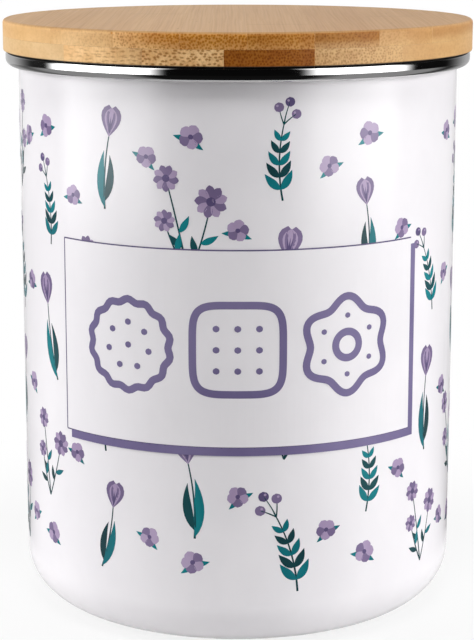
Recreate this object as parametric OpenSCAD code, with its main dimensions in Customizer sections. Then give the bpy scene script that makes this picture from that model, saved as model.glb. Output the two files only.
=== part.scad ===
// Lidded storage tin: a deep-drawn enamelled steel pot with a rolled stainless rim band,
// closed by a glued bamboo lid whose plug carries a silicone seal ring.
// The origin is at the middle of the base, on the surface that the tin stands on; +Z is up.

/* [Pot] */
// Outer diameter of the straight wall
body_d = 140; // [100:1:220]
// Height of the pot, from the floor to the top of its mouth flange
pot_h = 178; // [90:0.5:300]
// Thickness of the enamelled sheet
wall_t = 1; // [0.6:0.1:1.6]
// Outer radius where the wall turns into the base
corner_r = 16; // [8:0.5:28]
// Width of the flat ring that the pot stands on
foot_w = 9; // [4:0.5:16]
// Height of the pressed-in panel inside the foot ring
panel_rise = 1; // [0.4:0.1:3]
// Width of the slope between the foot ring and the panel
panel_slope_w = 2.5; // [1:0.5:6]
// Reach of the mouth flange past the wall
flange_w = 3; // [2.2:0.1:5]
// Bend radius under the mouth flange
flange_bend_r = 0.8; // [0.4:0.1:1.6]

/* [Rim band] */
// Thickness of the stainless strip
band_t = 0.5; // [0.3:0.1:0.8]
// Height of the band
band_h = 4.6; // [3.8:0.1:8]
// Air gap between the edge of the flange and the inside of the band
band_gap = 0.5; // [0.2:0.1:1.5]
// Outer radius of the upper edge of the band
band_top_r = 1.2; // [0.9:0.1:1.8]
// Outer radius of the lower edge of the band
band_low_r = 1.9; // [0.9:0.1:2]

/* [Lid board] */
// Reach of the lid board past the rim band
lid_overhang = 0.7; // [0:0.1:6]
// Thickness of one bamboo ply
ply_t = 4.95; // [3:0.05:8]
// Distance from the middle of the lid to the glue joint that both plies share
shared_joint_x = 22; // [-30:0.5:30]
// Width of the top ply's strip to the right of the shared joint
top_strip_w = 19; // [14:0.5:40]
// Number of top strips to the left of that strip, which share the rest of the ply evenly
top_left_strips = 5; // [2:1:8]
// Number of top strips to the right of that strip
top_right_strips = 2; // [1:1:4]
// Width of the under ply's strip to the left of the shared joint
under_strip_w = 26; // [14:0.5:40]
// Number of under strips to the left of that strip, which share the rest of the ply evenly
under_left_strips = 3; // [1:1:6]
// Number of under strips to the right of that strip
under_right_strips = 2; // [1:1:4]
// Radius of the upper edge of the lid board
lid_top_edge_r = 1.2; // [0.5:0.1:2.5]
// Radius of the lower edge of the lid board
lid_low_edge_r = 0.8; // [0.5:0.1:2.5]

/* [Plug and seal] */
// Depth of the plug under the lid board
plug_t = 8.5; // [7:0.5:20]
// Width of the plug's middle strip, which runs across the strips of the board
plug_strip_w = 26; // [14:0.5:40]
// Number of plug strips on each side of the middle one, which share the rest of the plug evenly
plug_side_strips = 2; // [1:1:4]
// Gap between the side of the plug and the wall of the pot
plug_gap = 2.7; // [1.5:0.1:6]
// Radius of the lower edge of the plug
plug_edge_r = 1; // [0.5:0.1:1.5]
// Distance from the lid board down to the seal groove
groove_drop = 2.8; // [1:0.1:4]
// Height of the seal groove
groove_h = 4.2; // [3.4:0.1:4.4]
// Depth of the seal groove
groove_depth = 2.8; // [1.5:0.1:5]
// Clearance of the seal in its groove
seal_seat_gap = 0.05; // [0.02:0.01:0.1]
// Clearance between the lips of the seal and the wall of the pot
seal_wall_gap = 0.3; // [0.1:0.05:0.5]
// Thickness of a seal lip at its root
lip_t = 1; // [0.6:0.1:1.2]
// Thickness of a seal lip at its tip
lip_tip_t = 0.5; // [0.3:0.1:0.6]
// Rise of a seal lip from its root to its tip
lip_rise = 0.35; // [0:0.05:0.5]

/* [Hidden] */
$fn = 96;
wall_r = body_d / 2;
inner_r = wall_r - wall_t;
foot_r = wall_r - corner_r;
panel_r = foot_r - foot_w;
band_r = wall_r + flange_w + band_gap + band_t;
rim_z = pot_h + band_t;
band_low_z = rim_z - band_h;
lid_r = band_r + lid_overhang;
under_ply_z = rim_z;
top_ply_z = under_ply_z + ply_t;
plug_r = inner_r - plug_gap;
plug_z = rim_z - plug_t;
groove_r = plug_r - groove_depth;
groove_top_z = rim_z - groove_drop;
groove_low_z = groove_top_z - groove_h;
seal_low_z = groove_low_z + seal_seat_gap;
seal_top_z = groove_top_z - seal_seat_gap;
seal_in_r = groove_r + seal_seat_gap;
lip_r = inner_r - seal_wall_gap;

// The edges of every strip in a ply, from one side of a disc of radius half_w to the other.
// One strip lies between low_joint and high_joint, and the strips on either side of it are even.
function strip_edges(half_w, low_joint, high_joint, low_strips, high_strips) =
    let (low_w = (half_w + low_joint) / low_strips,
         high_w = (half_w - high_joint) / high_strips)
    concat([for (k = [0 : low_strips]) -half_w + k * low_w],
           [for (k = [0 : high_strips]) high_joint + k * high_w]);

top_edges = strip_edges(lid_r, shared_joint_x, shared_joint_x + top_strip_w,
                        top_left_strips, top_right_strips);
under_edges = strip_edges(lid_r, shared_joint_x - under_strip_w, shared_joint_x,
                          under_left_strips, under_right_strips);
plug_edges = strip_edges(plug_r, -plug_strip_w / 2, plug_strip_w / 2,
                         plug_side_strips, plug_side_strips);
top_count = len(top_edges) - 1;
under_count = len(under_edges) - 1;
plug_count = len(plug_edges) - 1;

// Section from in_r to out_r and from low_z to top_z, with its two outer edges rounded
module rounded_section(in_r, out_r, low_z, top_z, low_edge_r, top_edge_r) {
    translate([in_r, low_z + low_edge_r])
        square([out_r - in_r, top_z - low_z - low_edge_r - top_edge_r]);
    if (low_edge_r > 0) {
        translate([in_r, low_z])
            square([out_r - low_edge_r - in_r, low_edge_r]);
        translate([out_r - low_edge_r, low_z + low_edge_r])
            circle(low_edge_r);
    }
    if (top_edge_r > 0) {
        translate([in_r, top_z - top_edge_r])
            square([out_r - top_edge_r - in_r, top_edge_r]);
        translate([out_r - top_edge_r, top_z - top_edge_r])
            circle(top_edge_r);
    }
}

// Section of the base's pressed-in panel, one sheet thick when lifted by wall_t
module panel_section(low_z) {
    polygon([[0, low_z], [panel_r, low_z], [panel_r - panel_slope_w, low_z + panel_rise],
             [0, low_z + panel_rise]]);
}

// Section of the mouth flange: the wall bends outwards through a right angle and runs level
module flange_section() {
    bend_centre = [wall_r + flange_bend_r, pot_h - wall_t - flange_bend_r];
    bend_out_r = flange_bend_r + wall_t;
    intersection() {
        translate(bend_centre) difference() {
            circle(bend_out_r);
            circle(flange_bend_r);
        }
        translate([inner_r, bend_centre[1]])
            square(bend_out_r);
    }
    translate([bend_centre[0], pot_h - wall_t])
        square([flange_w - flange_bend_r, wall_t]);
}

// Enamelled pot, drawn from one sheet: wall, rounded corner, base with its panel, mouth flange
module enamel_pot() {
    wall_top_z = pot_h - wall_t - flange_bend_r;
    color("white") rotate_extrude() {
        difference() {
            rounded_section(0, wall_r, 0, wall_top_z, corner_r, 0);
            rounded_section(0, inner_r, wall_t, wall_top_z + wall_t, corner_r - wall_t, 0);
            panel_section(0);
        }
        panel_section(wall_t);
        flange_section();
    }
}

// Stainless band rolled round the mouth flange: over its top, round its edge and back to the wall
module rim_band() {
    cover_r = wall_r + flange_bend_r;
    color("silver") rotate_extrude() difference() {
        rounded_section(wall_r, band_r, band_low_z, rim_z, band_low_r, band_top_r);
        rounded_section(wall_r, band_r - band_t, band_low_z + band_t, pot_h,
                        band_low_r - band_t, band_top_r - band_t);
        translate([wall_r, pot_h])
            square([cover_r - wall_r, band_t]);
    }
}

// Body of revolution from low_z to top_z, cut to the slab between two glue joints.
// The slab lies across X, or across Y when crosswise is true.
module ply_strip(edges, i, half_w, low_z, top_z, crosswise) {
    low_cut = edges[i - 1];
    high_cut = edges[i];
    intersection() {
        children();
        rotate([0, 0, crosswise ? 90 : 0])
            translate([low_cut, -half_w, low_z])
                cube([high_cut - low_cut, 2 * half_w, top_z - low_z]);
    }
}

// Bamboo strip of the top ply, number i from the left
module top_strip(i) {
    top_z = top_ply_z + ply_t;
    color("burlywood") ply_strip(top_edges, i, lid_r, top_ply_z, top_z, false)
        rotate_extrude() rounded_section(0, lid_r, top_ply_z, top_z, 0, lid_top_edge_r);
}

// Bamboo strip of the under ply, number i from the left
module under_strip(i) {
    color("tan") ply_strip(under_edges, i, lid_r, under_ply_z, top_ply_z, false)
        rotate_extrude() rounded_section(0, lid_r, under_ply_z, top_ply_z, lid_low_edge_r, 0);
}

// Bamboo strip of the plug, number i, with its share of the seal groove
module plug_strip(i) {
    color("wheat") ply_strip(plug_edges, i, plug_r, plug_z, rim_z, true)
        rotate_extrude() difference() {
            rounded_section(0, plug_r, plug_z, rim_z, plug_edge_r, 0);
            translate([groove_r, groove_low_z])
                square([groove_depth, groove_h]);
        }
}

// Silicone ring seated in the plug's groove, with two lips that wipe the wall of the pot
module seal_ring() {
    lip_gap = (seal_top_z - seal_low_z - 2 * lip_t) / 3;
    low_lip_z = seal_low_z + lip_gap;
    top_lip_z = low_lip_z + lip_t + lip_gap;
    color("whitesmoke") rotate_extrude() polygon(concat(
        [[seal_in_r, seal_low_z], [plug_r, seal_low_z]],
        lip_points(low_lip_z),
        lip_points(top_lip_z),
        [[plug_r, seal_top_z], [seal_in_r, seal_top_z]]));
}

// Outline of one seal lip whose root starts at root_z
function lip_points(root_z) =
    let (tip_z = root_z + lip_rise + (lip_t - lip_tip_t) / 2)
    [[plug_r, root_z], [lip_r, tip_z], [lip_r, tip_z + lip_tip_t], [plug_r, root_z + lip_t]];

enamel_pot();
rim_band();
seal_ring();
for (i = [1 : top_count])
    top_strip(i);
for (i = [1 : under_count])
    under_strip(i);
for (i = [1 : plug_count])
    plug_strip(i);
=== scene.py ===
# %% [markdown]
# # A biscuit tin in enamel, steel and bamboo
# A kitchen tin is a good first still life: three hard materials, one soft one, and hardly a straight edge.
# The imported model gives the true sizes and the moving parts. This lesson keeps those sizes and remakes each
# piece with the rounded edges, glue lines and finishes that a camera sees.

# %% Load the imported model
import math

import bmesh
import bpy
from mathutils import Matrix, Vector


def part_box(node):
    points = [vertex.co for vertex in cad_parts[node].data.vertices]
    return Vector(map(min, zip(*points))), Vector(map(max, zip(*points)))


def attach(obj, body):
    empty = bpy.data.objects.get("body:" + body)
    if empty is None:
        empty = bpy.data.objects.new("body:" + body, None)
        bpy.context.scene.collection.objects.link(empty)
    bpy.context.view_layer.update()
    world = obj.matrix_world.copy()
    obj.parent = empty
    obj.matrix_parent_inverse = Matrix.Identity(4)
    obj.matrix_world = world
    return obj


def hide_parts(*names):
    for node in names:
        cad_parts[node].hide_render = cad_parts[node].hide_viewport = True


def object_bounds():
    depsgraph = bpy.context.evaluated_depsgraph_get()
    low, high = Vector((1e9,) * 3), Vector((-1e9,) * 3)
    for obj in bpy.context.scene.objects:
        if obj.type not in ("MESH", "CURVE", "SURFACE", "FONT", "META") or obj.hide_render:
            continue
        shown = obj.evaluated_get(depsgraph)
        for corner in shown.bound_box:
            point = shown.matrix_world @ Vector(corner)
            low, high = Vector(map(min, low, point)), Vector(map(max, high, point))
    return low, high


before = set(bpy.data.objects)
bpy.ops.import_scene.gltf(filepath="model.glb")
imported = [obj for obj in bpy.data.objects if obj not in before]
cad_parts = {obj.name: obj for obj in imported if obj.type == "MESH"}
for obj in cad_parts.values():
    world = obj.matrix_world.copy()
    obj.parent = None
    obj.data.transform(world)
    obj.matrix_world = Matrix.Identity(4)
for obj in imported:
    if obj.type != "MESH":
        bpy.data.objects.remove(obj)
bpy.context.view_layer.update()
MM = 0.001

# %% [markdown]
# ## The camera
# The camera comes first, because it says what will be seen. A long lens stands a little above the lid and
# looks down by twelve degrees, so that the lid shows as a thin ellipse and the wall hardly narrows towards
# the base.

# %% Place the camera
CAMERA_PLACE = (-0.00023, -0.6479, 0.2263)
CAMERA_PITCH = math.radians(11.93)
CAMERA_LENS = 113.0

bpy.ops.object.select_all(action="DESELECT")
bpy.ops.object.camera_add(location=CAMERA_PLACE, rotation=(math.pi / 2 - CAMERA_PITCH, 0, 0))
camera = bpy.context.object
camera.data.lens = CAMERA_LENS
bpy.context.scene.camera = camera
bpy.context.scene.view_settings.view_transform = "Standard"
print("camera lens:", CAMERA_LENS, "mm")

# %% [markdown]
# ## Helpers for modelling by hand
# Every piece below starts as a primitive and is shaped in edit mode. Operators work on what is selected, so
# these helpers start from a clean selection, and pick vertices, edges or faces by a test of their middle.

# %% Selection helpers
def start_clean():
    """Leaves edit mode and deselects everything."""
    if bpy.context.object and bpy.context.object.mode != "OBJECT":
        bpy.ops.object.mode_set(mode="OBJECT")
    bpy.ops.object.select_all(action="DESELECT")


def select_only(piece):
    """Selects one piece, makes it the active one and deselects everything else."""
    start_clean()
    piece.select_set(True)
    bpy.context.view_layer.objects.active = piece


def pick(kind, test):
    """Selects just the "verts", "edges" or "faces" being edited whose middle passes the test."""
    bpy.ops.mesh.select_mode(type={"verts": "VERT", "edges": "EDGE", "faces": "FACE"}[kind])
    bpy.ops.mesh.select_all(action="DESELECT")
    mesh = bmesh.from_edit_mesh(bpy.context.edit_object.data)
    for element in getattr(mesh, kind):
        corners = [element.co] if kind == "verts" else [v.co for v in element.verts]
        if test(sum(corners, Vector()) / len(corners)):
            element.select_set(True)
    mesh.select_flush_mode()
    bmesh.update_edit_mesh(bpy.context.edit_object.data)


def apply_modifier(piece, kind, **settings):
    """Adds a modifier with these settings and applies it straight away."""
    bpy.context.view_layer.objects.active = piece
    made = piece.modifiers.new(kind.lower(), kind)
    for name, value in settings.items():
        setattr(made, name, value)
    bpy.ops.object.modifier_apply(modifier=made.name)


def smooth(piece, angle=30):
    """Shades smooth across gentle angles and keeps the flats flat."""
    select_only(piece)
    bpy.ops.object.shade_smooth_by_angle(angle=math.radians(angle))
    apply_modifier(piece, "WEIGHTED_NORMAL", keep_sharp=True)


def count(piece):
    """Says how many faces a piece has."""
    print(f"{piece.name}: {len(piece.data.polygons)} faces")


# %% [markdown]
# ## Turned pieces
# The pot, the rim band and the seal are all round, so each is one outline turned about the upright axis. A
# lathe could be a Screw modifier on a curve, but drawing the outline point by point and spinning it gives
# full control of where the faces lie. A bend in sheet metal is never sharp, so every corner gets an arc.

# %% A lathe made from extrude and spin
SPIN_STEPS = 256
WELD = 0.01 * MM


def arc(centre, radius, start, end, steps):
    """Points of an arc in the (r, z) plane, with the angles in degrees from +r towards +z."""
    angles = [math.radians(start + (end - start) * k / steps) for k in range(steps + 1)]
    return [(centre[0] + radius * math.cos(a), centre[1] + radius * math.sin(a)) for a in angles]


def draw_line(name, points):
    """Merges a plane to one vertex and extrudes it from point to point, left in edit mode."""
    start_clean()
    bpy.ops.mesh.primitive_plane_add(size=MM)
    piece = bpy.context.object
    piece.name = piece.data.name = name
    bpy.ops.object.mode_set(mode="EDIT")
    bpy.ops.mesh.select_mode(type="VERT")
    bpy.ops.mesh.select_all(action="SELECT")
    bpy.ops.mesh.merge(type="CENTER")
    bpy.ops.transform.translate(value=points[0])
    for before, after in zip(points, points[1:]):
        bpy.ops.mesh.extrude_region_move(TRANSFORM_OT_translate={"value": after - before})
    return piece


def spin_round(steps):
    """Spins the line being edited once round the Z axis and welds the seam."""
    bpy.ops.mesh.select_all(action="SELECT")
    bpy.ops.mesh.spin(steps=steps, angle=2 * math.pi, center=(0, 0, 0), axis=(0, 0, 1))
    bpy.ops.mesh.select_all(action="SELECT")
    bpy.ops.mesh.remove_doubles(threshold=WELD)


def lathe(name, outline, closed):
    """Draws the outline, given in mm, and spins it into a round piece."""
    points = [Vector((r, 0, z)) * MM for r, z in outline]
    piece = draw_line(name, points)
    if closed:
        pick("verts", lambda at: min((at - points[0]).length, (at - points[-1]).length) < WELD)
        bpy.ops.mesh.edge_face_add()
    spin_round(SPIN_STEPS)
    bpy.ops.mesh.normals_make_consistent(inside=False)
    bpy.ops.object.mode_set(mode="OBJECT")
    smooth(piece)
    count(piece)
    return piece


# %% [markdown]
# ## The enamelled pot
# The pot is pressed from one steel sheet: a flat foot ring with a raised panel inside it, a large round
# corner, a straight wall and a flange at the mouth. Enamel is glass that melted onto it, so its outside
# corners are all softened. The outline below goes up the outside, over the flange and down the inside.

# %% Spin the pot
FLANGE_REACH = 3.0
SHEET = 1.0
CORNER_R = 16.0
FOOT_RING = 9.0
PANEL_RISE = 1.0
PANEL_SLOPE = 2.5
BEND_R = 0.8
EDGE_R = 0.4
WALL_LOOPS = (60, 110, 150)

pot_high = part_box("enamel_pot")[1]
pot_top = pot_high.z / MM
flange_r = pot_high.x / MM
wall_r = flange_r - FLANGE_REACH
foot_r = wall_r - CORNER_R
ring_r = foot_r - FOOT_RING
bend_at = (wall_r + BEND_R, pot_top - SHEET - BEND_R)


def base_panel(height):
    """The line across the base, from the middle to the foot ring, in soft steps down its slope."""
    steps = 8
    slope = [(ring_r - PANEL_SLOPE + PANEL_SLOPE * k / steps,
              height + PANEL_RISE * (1 + math.cos(math.pi * k / steps)) / 2) for k in range(steps + 1)]
    return [(0, height + PANEL_RISE), (ring_r / 2, height + PANEL_RISE)] + slope


outside = base_panel(0) + arc((foot_r, CORNER_R), CORNER_R, -90, 0, steps=24)
outside += [(wall_r, z) for z in WALL_LOOPS]
outside += arc(bend_at, BEND_R, 180, 90, steps=6)
flange = arc((flange_r - EDGE_R, pot_top - SHEET + EDGE_R), EDGE_R, -90, 0, steps=4)
flange += arc((flange_r - EDGE_R, pot_top - EDGE_R), EDGE_R, 0, 90, steps=4)
inside = arc(bend_at, BEND_R + SHEET, 90, 180, steps=8)
inside += [(wall_r - SHEET, z) for z in reversed(WALL_LOOPS)]
inside += arc((foot_r, CORNER_R), CORNER_R - SHEET, 0, -90, steps=24)
inside += list(reversed(base_panel(SHEET)))
pot = lathe("pot_enamel", outside + flange + inside, closed=False)
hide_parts("enamel_pot")
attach(pot, "pot")

# %% [markdown]
# ## The rim band
# A thin stainless strip is rolled over the flange and hides its raw edge. It is hollow, so the outline goes
# round its outside and comes back one sheet further in. Its two round edges are what catch the studio
# lights.

# %% Spin the rim band
BAND_T = 0.5
BAND_TOP_R = 1.2
BAND_LOW_R = 2.2

band_low, band_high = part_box("rim_band")
band_r = band_high.x / MM
band_bottom = band_low.z / MM
band_top = band_high.z / MM


def band_side(inset):
    """The bent side of the band, from its lower edge to its upper one, moved in by inset."""
    low = arc((band_r - BAND_LOW_R, band_bottom + BAND_LOW_R), BAND_LOW_R - inset, -90, 0, steps=10)
    top = arc((band_r - BAND_TOP_R, band_top - BAND_TOP_R), BAND_TOP_R - inset, 0, 90, steps=8)
    return low + top


cover_r = wall_r + BEND_R
band_outline = [(wall_r, band_bottom)] + band_side(0)
band_outline += arc((cover_r + BAND_T / 2, band_top - BAND_T / 2), BAND_T / 2, 90, 270, steps=8)
band_outline += list(reversed(band_side(BAND_T))) + [(wall_r, band_bottom + BAND_T)]
band = lathe("band_steel", band_outline, closed=True)
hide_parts("rim_band")
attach(band, "pot")

# %% [markdown]
# ## The seal ring
# A silicone ring sits in a groove round the plug. Two soft lips reach out to the wall and tilt up a little,
# so that the lid goes in with a push and comes out with a pull. The lips thin towards rounded tips.

# %% Spin the seal ring
LIP_ROOT = 1.0
LIP_TIP = 0.5
LIP_RISE = 0.35
GROOVE_DEPTH = 2.8
SEAT_GAP = 0.05

seal_low, seal_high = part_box("seal_ring")
lip_r = seal_high.x / MM
seal_bottom = seal_low.z / MM
seal_top = seal_high.z / MM
plug_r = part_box("plug_strip_3")[1].x / MM
groove_r = plug_r - GROOVE_DEPTH
seat_r = groove_r + SEAT_GAP
lip_gap = (seal_top - seal_bottom - 2 * LIP_ROOT) / 3


def lip(root):
    """One lip, from the lower side of its root round its tip to the upper side."""
    tip_middle = root + LIP_ROOT / 2 + LIP_RISE
    tip = arc((lip_r - LIP_TIP / 2, tip_middle), LIP_TIP / 2, -90, 90, steps=6)
    return [(plug_r, root)] + tip + [(plug_r, root + LIP_ROOT)]


seal_outline = [(seat_r, seal_bottom), (plug_r, seal_bottom)]
seal_outline += lip(seal_bottom + lip_gap) + lip(seal_bottom + 2 * lip_gap + LIP_ROOT)
seal_outline += [(plug_r, seal_top), (seat_r, seal_top)]
seal = lathe("seal_silicone", seal_outline, closed=True)
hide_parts("seal_ring")
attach(seal, "lid")

# %% [markdown]
# ## The bamboo boards
# The lid is two plies of bamboo strips and a plug of strips laid across them. A joiner glues strips into a
# board and then turns it round. Here each ply is a cylinder with its rim rounded by a bevel, and every
# strip is a copy of it, cut out with two bisects. A tiny bevel on the sharp edges leaves the fine glue
# lines of a real board.

# %% Turn a round board
BOARD_SIDES = 256


def round_board(radius, low, high):
    """A solid disc between two heights, in metres, left in edit mode."""
    start_clean()
    bpy.ops.mesh.primitive_cylinder_add(vertices=BOARD_SIDES, radius=radius, depth=high - low,
                                        location=(0, 0, (low + high) / 2))
    bpy.ops.object.transform_apply(location=True)
    bpy.ops.object.mode_set(mode="EDIT")
    return bpy.context.object


def on_side(at, radius):
    """True for a place on the round side of a board."""
    return at.xy.length > radius * 0.99


def round_rim(radius, height, edge_r):
    """Rounds the edge of the board that lies at this height."""
    pick("edges", lambda at: abs(at.z - height) < WELD and on_side(at, radius))
    bpy.ops.mesh.bevel(offset=edge_r, segments=5, affect="EDGES")


# %% Cut strips from a board
GLUE_EDGE = 0.05 * MM


def copy_of(piece):
    """Copies a piece, with a mesh of its own."""
    select_only(piece)
    bpy.ops.object.duplicate()
    return bpy.context.object


def cut_strip(board, name, node, axis):
    """Copies the board and keeps what lies between the node's two glue joints across the axis."""
    low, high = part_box(node)
    normal = [float(k == axis) for k in range(3)]
    strip = copy_of(board)
    strip.name = strip.data.name = name
    reach = max(board.dimensions) / 2 - GLUE_EDGE
    bpy.ops.object.mode_set(mode="EDIT")
    for place, keep_above in ((low, True), (high, False)):
        if abs(place[axis]) < reach:
            bpy.ops.mesh.select_all(action="SELECT")
            bpy.ops.mesh.bisect(plane_co=place, plane_no=normal, use_fill=True,
                                clear_inner=keep_above, clear_outer=not keep_above)
    bpy.ops.mesh.select_mode(type="EDGE")
    bpy.ops.mesh.select_all(action="DESELECT")
    bpy.ops.mesh.edges_select_sharp(sharpness=math.radians(50))
    bpy.ops.mesh.bevel(offset=GLUE_EDGE, segments=2, affect="EDGES")
    bpy.ops.object.mode_set(mode="OBJECT")
    smooth(strip, angle=40)
    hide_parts(node)
    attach(strip, "lid")
    return strip


def cut_ply(board, ply, axis):
    """Cuts every strip of one ply and throws the board away."""
    bpy.ops.object.mode_set(mode="OBJECT")
    nodes = [name for name in sorted(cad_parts) if name.startswith(f"{ply}_strip_")]
    strips = [cut_strip(board, f"bamboo_{ply}_{node.split('_')[-1]}", node, axis) for node in nodes]
    bpy.data.objects.remove(board)
    print(f"{ply} ply: {len(strips)} strips, {sum(len(s.data.polygons) for s in strips)} faces")
    return strips


# %% Cut the two plies of the board
LID_TOP_R = 1.2 * MM
LID_LOW_R = 0.5 * MM

top_low, top_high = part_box("top_strip_5")
under_low, under_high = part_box("under_strip_4")
lid_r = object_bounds()[1].x

board = round_board(lid_r, top_low.z, top_high.z)
round_rim(lid_r, top_high.z, LID_TOP_R)
top_strips = cut_ply(board, "top", 0)

board = round_board(lid_r, under_low.z, under_high.z)
round_rim(lid_r, under_low.z, LID_LOW_R)
under_strips = cut_ply(board, "under", 0)

# %% [markdown]
# ## The plug
# The plug is the same kind of board with a groove for the seal. Two bisects mark the edges of the groove on
# its side. The faces between them are then extruded and drawn in towards the axis.

# %% Cut the plug
PLUG_EDGE_R = 1.0 * MM
GROOVE_LOW = seal_low.z - SEAT_GAP * MM
GROOVE_TOP = seal_high.z + SEAT_GAP * MM

plug_low, plug_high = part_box("plug_strip_3")
board = round_board(plug_r * MM, plug_low.z, plug_high.z)
round_rim(plug_r * MM, plug_low.z, PLUG_EDGE_R)
for height in (GROOVE_LOW, GROOVE_TOP):
    bpy.ops.mesh.select_all(action="SELECT")
    bpy.ops.mesh.bisect(plane_co=(0, 0, height), plane_no=(0, 0, 1))
pick("faces", lambda at: GROOVE_LOW < at.z < GROOVE_TOP and on_side(at, plug_r * MM))
bpy.ops.mesh.extrude_region_move()
draw_in = groove_r / plug_r
bpy.ops.transform.resize(value=(draw_in, draw_in, 1), center_override=(0, 0, (GROOVE_LOW + GROOVE_TOP) / 2))
plug_strips = cut_ply(board, "plug", 1)

# %% [markdown]
# ## Helpers for materials
# A material is a small program. These helpers add a node, link or set its sockets, and hand back the
# output, so that each recipe below reads from top to bottom.

# %% Nodes and sums
def add_node(tree, kind, **settings):
    """Adds a node of this kind with these settings."""
    made = tree.nodes.new(kind)
    for name, value in settings.items():
        setattr(made, name, value)
    return made


def feed(tree, socket, value):
    """Links another node's output to this socket, or sets the socket to a plain value."""
    if isinstance(value, bpy.types.NodeSocket):
        tree.links.new(value, socket)
    else:
        socket.default_value = value


def feed_all(tree, made, values):
    """Feeds a node's sockets in their order, and hands back its first output."""
    for socket, value in zip(made.inputs, values):
        feed(tree, socket, value)
    return made.outputs[0]


def calc(tree, operation, *values):
    """A sum of plain numbers or of other nodes' outputs."""
    return feed_all(tree, add_node(tree, "ShaderNodeMath", operation=operation), values)


def vector_calc(tree, operation, *values):
    """The same for vectors."""
    return feed_all(tree, add_node(tree, "ShaderNodeVectorMath", operation=operation), values)


def remap(tree, value, low, high, to_low=0.0, to_high=1.0):
    """Eases from to_low to to_high as the value goes from low to high."""
    made = add_node(tree, "ShaderNodeMapRange", interpolation_type="SMOOTHSTEP")
    return feed_all(tree, made, (value, low, high, to_low, to_high))


def mix_colour(tree, factor, first, second, blend_type="MIX"):
    """Goes from the first colour to the second, or blends it in, as the factor goes from 0 to 1."""
    made = add_node(tree, "ShaderNodeMix", data_type="RGBA", blend_type=blend_type)
    feed(tree, made.inputs[0], factor)
    feed(tree, made.inputs[6], first)
    feed(tree, made.inputs[7], second)
    return made.outputs[2]


# %% Places and textures
# Most of a noise lies in this span.
NOISE_SPAN = (0.3, 0.7)


def stretch(tree, vector, grain):
    """Scales a vector along each axis. A larger number makes a finer texture."""
    return vector_calc(tree, "MULTIPLY", vector, grain)


def split(tree, vector):
    """The x, y and z of a vector."""
    made = add_node(tree, "ShaderNodeSeparateXYZ")
    feed(tree, made.inputs[0], vector)
    return made.outputs


def combine(tree, x=0.0, y=0.0, z=0.0):
    """A vector from its x, y and z."""
    return feed_all(tree, add_node(tree, "ShaderNodeCombineXYZ"), (x, y, z))


def from_axis(tree, place):
    """How far a place is from the upright axis."""
    made = add_node(tree, "ShaderNodeVectorMath", operation="LENGTH")
    feed(tree, made.inputs[0], stretch(tree, place, (1, 1, 0)))
    return made.outputs["Value"]


def noise(tree, vector, grain, detail=2.0, output=0):
    """A soft random value, about a half on average, or a random colour, as fine as the grain says."""
    stretched = stretch(tree, vector, grain)
    made = add_node(tree, "ShaderNodeTexNoise")
    feed(tree, made.inputs["Vector"], stretched)
    feed(tree, made.inputs["Scale"], 1.0)
    feed(tree, made.inputs["Detail"], detail)
    return made.outputs[output]


def voronoi(tree, vector, scale=1.0, randomness=1.0, dimensions="3D"):
    """Scattered points. The outputs say how far the nearest one is and where."""
    made = add_node(tree, "ShaderNodeTexVoronoi", voronoi_dimensions=dimensions)
    feed(tree, made.inputs["Vector"], vector)
    feed(tree, made.inputs["Scale"], scale)
    feed(tree, made.inputs["Randomness"], randomness)
    return made.outputs


def bump(tree, height, strength, distance):
    """A normal that tilts the light as if the surface had this height."""
    made = add_node(tree, "ShaderNodeBump")
    feed(tree, made.inputs["Height"], height)
    feed(tree, made.inputs["Strength"], strength)
    feed(tree, made.inputs["Distance"], distance)
    return made.outputs[0]


# %% Colours, groups and materials
def srgb(red, green, blue):
    """A colour as a screen shows it, 0 to 255, turned into the linear values that light needs."""
    def linear(value):
        value /= 255
        return value / 12.92 if value <= 0.04045 else ((value + 0.055) / 1.055) ** 2.4
    return linear(red), linear(green), linear(blue), 1.0


def new_group(name, inputs, outputs):
    """An empty node group with these sockets: (group, its inputs, its outputs)."""
    group = bpy.data.node_groups.new(name, "ShaderNodeTree")
    for side, sockets in (("INPUT", inputs), ("OUTPUT", dict.fromkeys(outputs, "Float"))):
        for socket, kind in sockets.items():
            group.interface.new_socket(socket, in_out=side, socket_type=f"NodeSocket{kind}")
    return group, group.nodes.new("NodeGroupInput").outputs, group.nodes.new("NodeGroupOutput").inputs


def new_material(name, **constants):
    """A material and its Principled shader: (material, node tree, shader inputs, object coordinates)."""
    material = bpy.data.materials.new(name)
    material.use_nodes = True
    tree = material.node_tree
    shader = tree.nodes["Principled BSDF"].inputs
    for socket, value in constants.items():
        shader[socket.replace("_", " ")].default_value = value
    return material, tree, shader, tree.nodes.new("ShaderNodeTexCoord").outputs


def use_group(tree, group, **inputs):
    """Places a node group with these inputs and hands back its outputs."""
    made = add_node(tree, "ShaderNodeGroup", node_tree=group)
    for socket, value in inputs.items():
        feed(tree, made.inputs[socket.replace("_", " ")], value)
    return made.outputs


def dress(piece, *materials):
    """Gives a piece these materials and no others."""
    piece.data.materials.clear()
    for material in materials:
        piece.data.materials.append(material)


# %% [markdown]
# ## The glaze
# Enamel is a skin of glass with a very slight waviness, like the peel of an orange, and a gloss that isn't
# quite even. Here and there a speck was fired in. The white coat and the inks all share it, so it is a node
# group.

# %% Build the glaze group
# A grain says how fine a texture is along x, y and z, in steps per metre.
WIDE_WAVES, FINE_WAVES, CLOUDS = (90, 90, 90), (420, 420, 420), (30, 30, 22)
FINE_SHARE = 0.25
GLAZE_ROUGHNESS = (0.13, 0.19)
SPECKS = 130.0
SPECK_EDGE = (0.02, 0.035)

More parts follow.
